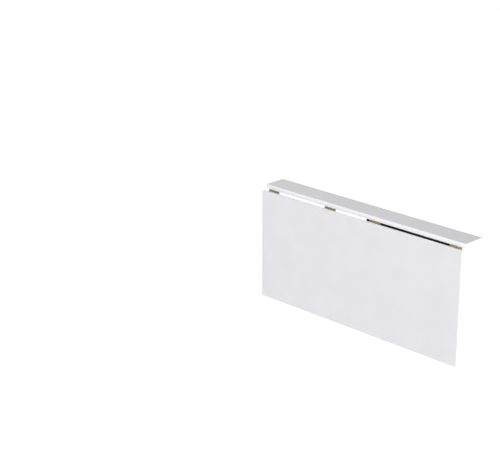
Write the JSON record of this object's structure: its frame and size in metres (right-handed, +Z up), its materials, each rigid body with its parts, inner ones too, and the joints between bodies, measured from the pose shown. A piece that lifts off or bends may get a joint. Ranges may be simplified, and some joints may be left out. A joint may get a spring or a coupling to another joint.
{
  "type": "wall-mounted drop-leaf desk",
  "caption": "White wall-mounted drop-leaf desk: a narrow wall shelf, a hinged leaf that hangs down or lifts level, and a black swing-out support frame behind it.",
  "frame": {"origin": "centre of the wall rail's back face, on the wall, half-way along the desk and 35 mm under its top", "axes": "+X along the wall to the right of someone facing the wall, +Y into the wall, +Z up; the room is on the -Y side"},
  "size_m": [1, 0.1215, 0.478],
  "materials": {
    "white_board": "white melamine-faced particleboard, satin",
    "edge_band": "white 1 mm edge banding, satin",
    "brass": "rolled brass, dulled",
    "black_timber": "timber with black satin paint",
    "black_steel": "black coated steel",
    "zinc": "bright zinc plate",
    "beech": "bare fluted beech",
    "rubber": "ribbed rubber, matt"
  },
  "bodies": {
    "wall_unit": {"shelf_panel": "white_board", "shelf_front_band": "edge_band", "shelf_left_band": "edge_band", "shelf_right_band": "edge_band", "wall_rail": "black_timber", "shelf_brackets": "zinc", "bracket_shelf_screws": "zinc", "bracket_rail_screws": "zinc", "wall_post": "black_timber", "left_hinge_shelf_plate": "brass", "left_hinge_pin": "brass", "inner_left_hinge_shelf_plate": "brass", "inner_left_hinge_pin": "brass", "inner_right_hinge_shelf_plate": "brass", "inner_right_hinge_pin": "brass", "right_hinge_shelf_plate": "brass", "right_hinge_pin": "brass", "shelf_plate_screws": "brass", "upper_post_hinge_wall_plate": "black_steel", "upper_post_hinge_pin": "black_steel", "lower_post_hinge_wall_plate": "black_steel", "lower_post_hinge_pin": "black_steel", "post_plate_screws": "black_steel"},
    "leaf": {"leaf_panel": "white_board", "leaf_front_band": "edge_band", "leaf_seam_band": "edge_band", "leaf_left_band": "edge_band", "leaf_right_band": "edge_band", "left_hinge_leaf_plate": "brass", "inner_left_hinge_leaf_plate": "brass", "inner_right_hinge_leaf_plate": "brass", "right_hinge_leaf_plate": "brass", "leaf_plate_screws": "brass"},
    "swing_frame": {"swing_stile": "black_timber", "swing_arm": "black_timber", "swing_brace": "black_timber", "frame_dowels": "beech", "brace_screws": "zinc", "arm_packer": "black_timber", "packer_screws": "zinc", "arm_pad": "rubber", "upper_post_hinge_stile_plate": "black_steel", "lower_post_hinge_stile_plate": "black_steel", "stile_plate_screws": "zinc"}
  },
  "joints": [
    {"name": "leaf_hinge", "type": "hinge", "parent": "wall_unit", "child": "leaf", "pos_m": [0, -0.098, 0.0115], "axis": [-1, 0, 0], "range_deg": [0, 90]},
    {"name": "frame_swing", "type": "hinge", "parent": "wall_unit", "child": "swing_frame", "pos_m": [0.011, -0.037, -0.19], "axis": [0, 0, -1], "range_deg": [0, 5.5]}
  ]
}
